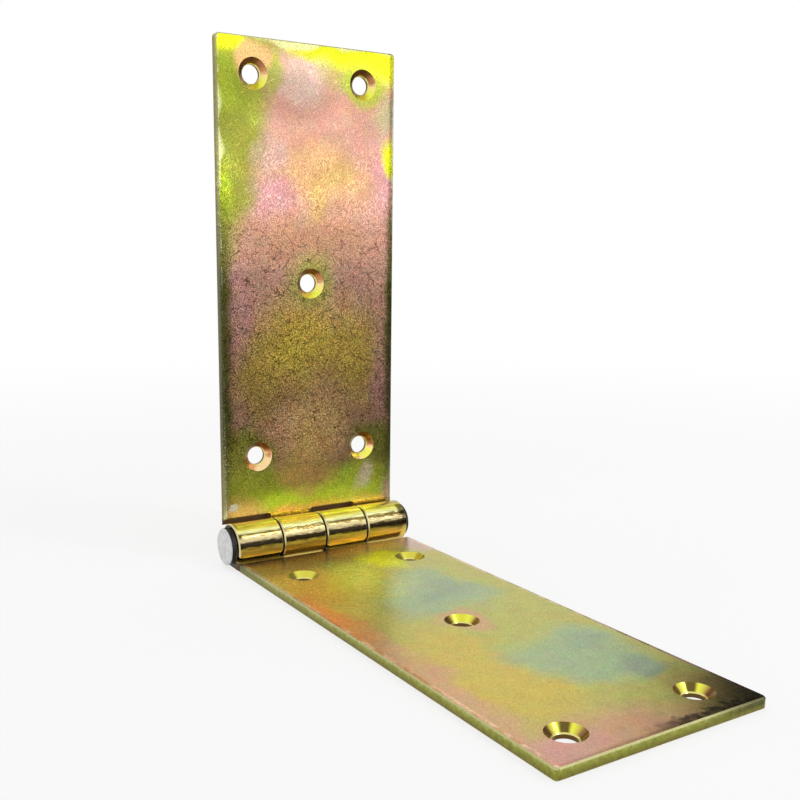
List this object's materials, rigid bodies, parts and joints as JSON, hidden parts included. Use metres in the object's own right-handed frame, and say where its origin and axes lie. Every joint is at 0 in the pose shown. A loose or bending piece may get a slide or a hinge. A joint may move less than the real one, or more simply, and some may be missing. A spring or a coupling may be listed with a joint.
{
  "type": "folding strap hinge",
  "caption": "Heavy strap hinge opened square: long rectangular leaves with countersunk screw holes, rolled knuckles and a riveted pin.",
  "frame": {"origin": "centre of the lying leaf's four corner screws, on its mounting face", "axes": "+X along the pin, from the made head to the hammered one; +Z out of the lying leaf's front and up the upright leaf; the lying leaf's free end points to -Y"},
  "size_m": [0.0638, 0.1567, 0.1567],
  "materials": {
    "base_leaf_sheet": "zinc plated steel sheet, yellow iridescent chromate",
    "upright_leaf_sheet": "zinc plated steel sheet, yellow iridescent chromate",
    "pin_steel": "bright steel rod, plain zinc"
  },
  "bodies": {
    "base": {"base_leaf": "base_leaf_sheet", "hinge_pin": "pin_steel"},
    "upright": {"upright_leaf": "upright_leaf_sheet"}
  },
  "joints": [
    {"name": "leaf_hinge", "type": "hinge", "parent": "base", "child": "upright", "pos_m": [0, 0.08285, 0.00675], "axis": [1, 0, 0], "range_deg": [-155, 92]}
  ]
}
